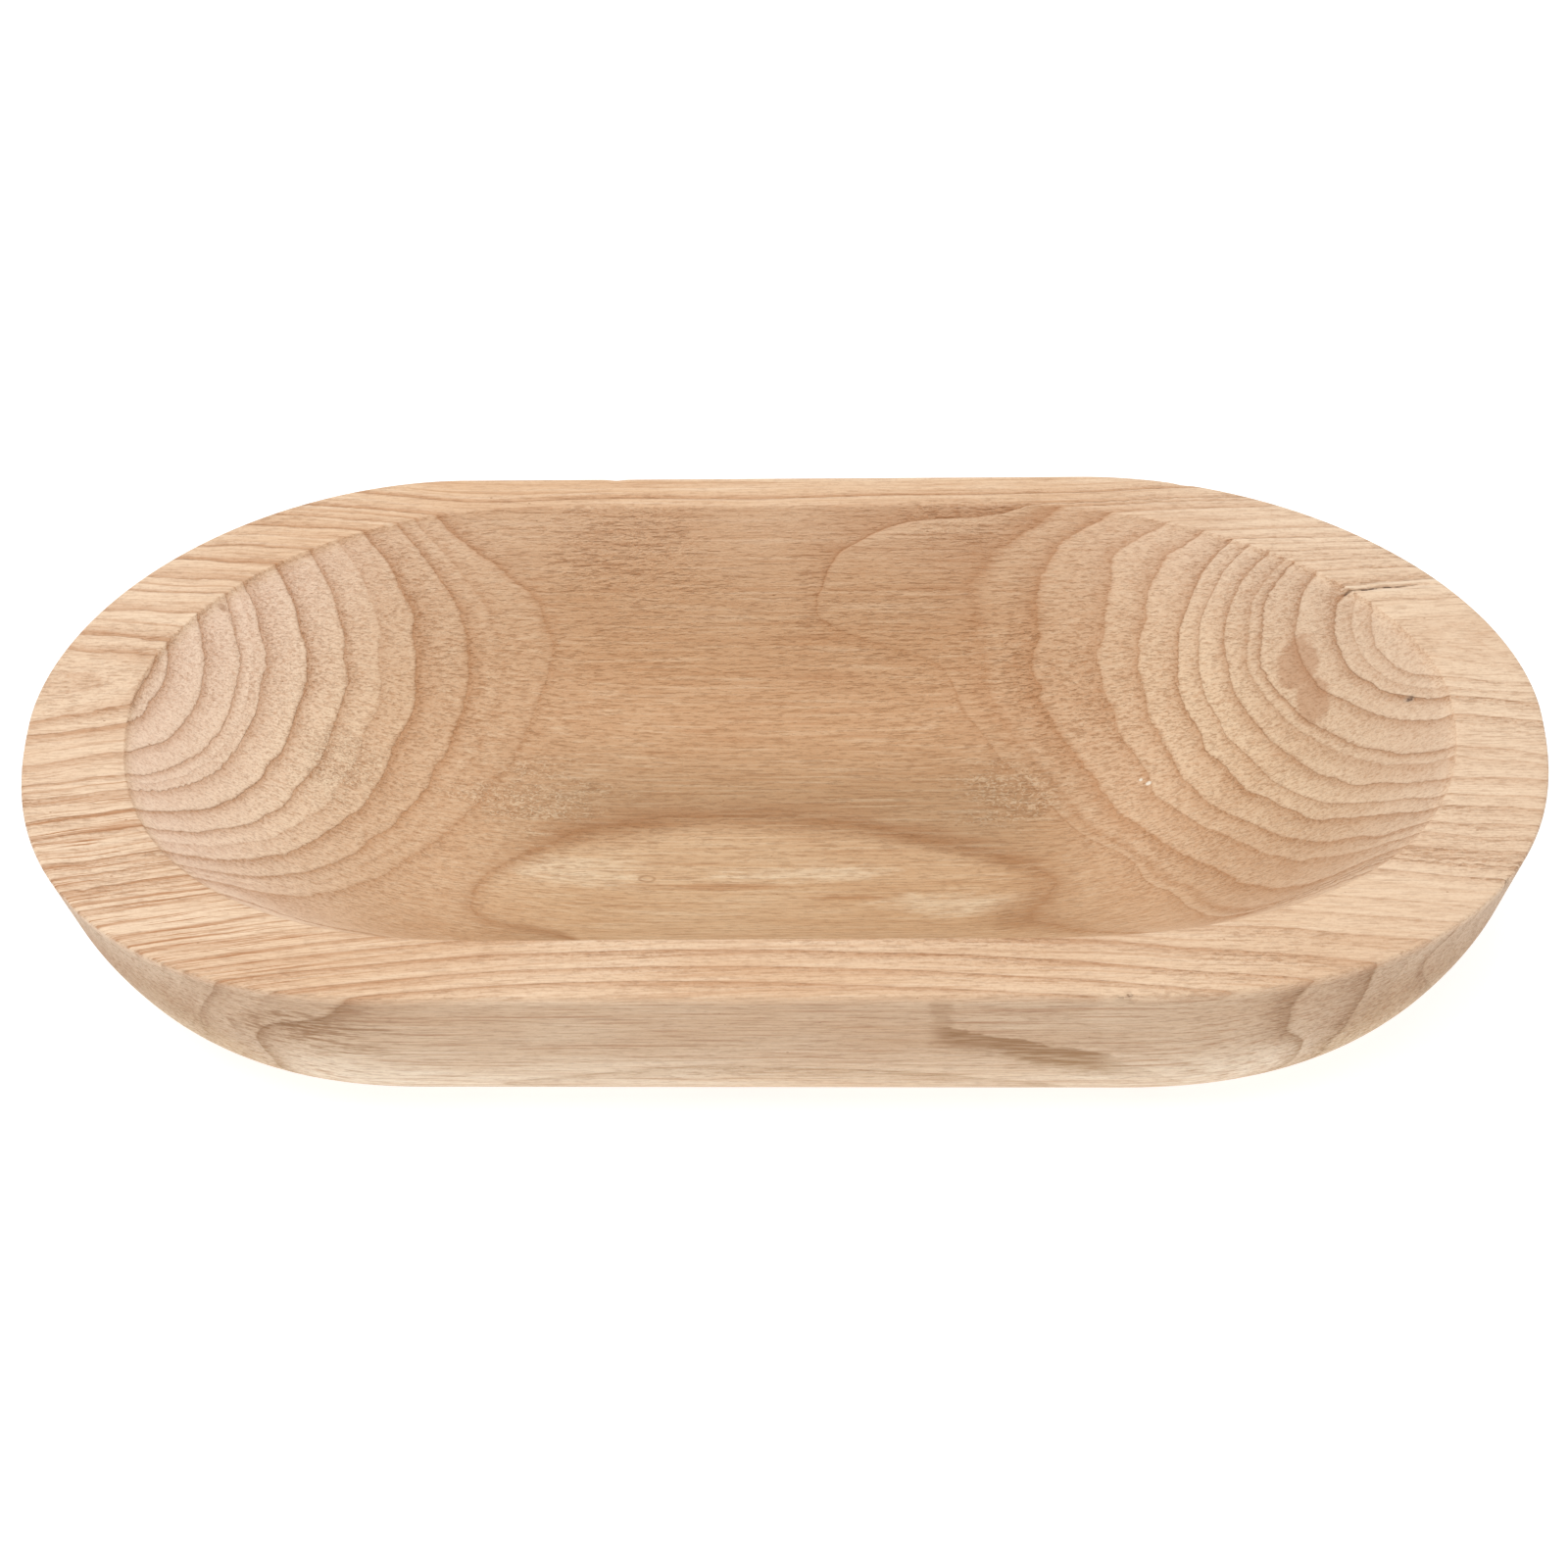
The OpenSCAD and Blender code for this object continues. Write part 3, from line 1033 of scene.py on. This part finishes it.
print("Nodes of the whole colour:", len(wood.nodes))

# %% [markdown]
# ## Bump and gloss
#
# The same patterns raise and sink the surface by less than half a millimetre, and open pores
# are a touch duller than the wood between them. Bare wood has only a weak, wide gloss.

# %% Bump and gloss
BUMP_DEPTH = 0.45
bumps = fuzz * (zone * rough * 0.9 + 0.45) - ripples * rippled * 1.3
bumps = bumps - dashes * 0.7 - line * 0.7 + fibres * 0.15 + lip_and_highlight * 0.4
bump = wood.node("ShaderNodeBump", None, {
    "Strength": 1, "Distance": BUMP_DEPTH * MM, "Height": bumps}, out="Normal")
surface = wood.node("ShaderNodeBsdfPrincipled", None, {
    "Base Color": colour, "Roughness": 0.62 + 0.15 * dashes, "Normal": bump,
    "Specular IOR Level": 0.45})
wood.node("ShaderNodeOutputMaterial", None, {"Surface": surface})
print("Wood finish of", len(wood.nodes), "nodes")

# %% [markdown]
# ## Placing the bowl
#
# The bowl is one piece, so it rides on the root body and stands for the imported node.

# %% Place the bowl
bowl = bpy.data.objects.new("dough_bowl", bowl_mesh)
bpy.context.scene.collection.objects.link(bowl)
bowl_mesh.materials.append(wood.material)
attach(bowl, "root")
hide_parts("bowl")
print("Bowl placed:", tuple(round(side, 3) for side in bowl.dimensions))

# %% [markdown]
# ## Studio
#
# The bowl lies on a plain white light table in a white room, as in a product studio. The table
# is a wide disk whose edge sweeps up like a studio backdrop, so that low views see no horizon. It
# glows a little, so the foot of the bowl is lit from below and throws almost no shadow.

# %% Light table
scene = bpy.context.scene
TABLE_R = 7
TABLE_SEGMENTS = 96
SWEEP_R = 1.2
SWEEP_STEPS = 8
TABLE_GAP = 0.2
TABLE_GLOW = 0.76
table_mesh = bpy.data.meshes.new("table_top")
bm = bmesh.new()
ring = bmesh.ops.create_circle(bm, cap_ends=True, segments=TABLE_SEGMENTS, radius=TABLE_R)["verts"]
edge = [(v.co.x, v.co.y) for v in ring]
for i in range(1, SWEEP_STEPS + 1):
    turn = math.pi / 2 * i / SWEEP_STEPS
    share = 1 + SWEEP_R / TABLE_R * math.sin(turn)
    climb = SWEEP_R * (1 - math.cos(turn))
    ring = next_ring(bm, ring, [(along * share, across * share, climb) for along, across in edge])
bmesh.ops.recalc_face_normals(bm, faces=bm.faces)
bmesh.ops.translate(bm, verts=bm.verts, vec=(0, 0, -TABLE_GAP * MM))
bm.to_mesh(table_mesh)
bm.free()
table = bpy.data.objects.new("table_top", table_mesh)
scene.collection.objects.link(table)
white = Finish("white_table")
white_surface = white.node("ShaderNodeBsdfPrincipled", None, {
    "Base Color": linear(190, 190, 190), "Roughness": 0.9, "Specular IOR Level": 0,
    "Emission Color": (1, 1, 1, 1), "Emission Strength": TABLE_GLOW})
white.node("ShaderNodeOutputMaterial", None, {"Surface": white_surface})
table_mesh.materials.append(white.material)
print("Light table of", len(table_mesh.polygons), "faces")

# %% [markdown]
# ## Room and overhead light
#
# The white room lights the bowl evenly from all sides. One wide, soft light hangs over it, a
# little to the left, to bring out the relief of the rings.

# %% Room and overhead light
ROOM_LIGHT = 0.42
LAMP_PLACE = Vector((-0.3, 0.0, 1.7))
LAMP_SIZE = 2.2
LAMP_WATTS = 27


def turned_to(start, aim):
    """The place and turn of a lamp or a camera that looks from one point at another."""
    turn = (aim - start).to_track_quat("-Z", "Y").to_matrix().to_4x4()
    return Matrix.Translation(start) @ turn


world = bpy.data.worlds.new("white_room")
world.use_nodes = True
room = world.node_tree.nodes["Background"].inputs
room["Color"].default_value = (1, 1, 1, 1)
room["Strength"].default_value = ROOM_LIGHT
scene.world = world
lamp = bpy.data.lights.new("overhead", "AREA")
lamp.shape = "DISK"
lamp.size = LAMP_SIZE
lamp.energy = LAMP_WATTS
light = bpy.data.objects.new("overhead", lamp)
light.matrix_world = turned_to(LAMP_PLACE, Vector((0, 0, 0)))
scene.collection.objects.link(light)
print("Room at", ROOM_LIGHT, "and a lamp of", LAMP_WATTS, "W")

# %% [markdown]
# ## Camera
#
# The photograph was taken from the front at 45 degrees, about 1.13 m from the rim, with a lens of
# about 80 mm, and the camera leant by one degree.

# %% Camera
CAMERA_PLACE = Vector((13.7, -832.3, 876.4)) * MM
CAMERA_AIM = Vector((0.3, -31.0, 75.0)) * MM
CAMERA_LEAN = math.radians(-0.98)
FOCAL_LENGTH = 80.3
SENSOR_W = 36
lens = bpy.data.cameras.new("camera")
lens.lens = FOCAL_LENGTH
lens.sensor_width = SENSOR_W
camera = bpy.data.objects.new("camera", lens)
upright = turned_to(CAMERA_PLACE, CAMERA_AIM)
camera.matrix_world = upright @ Matrix.Rotation(CAMERA_LEAN, 4, "Z")
scene.collection.objects.link(camera)
scene.camera = camera
scene.view_settings.view_transform = "Standard"
print("Camera at", tuple(round(c, 3) for c in camera.location))
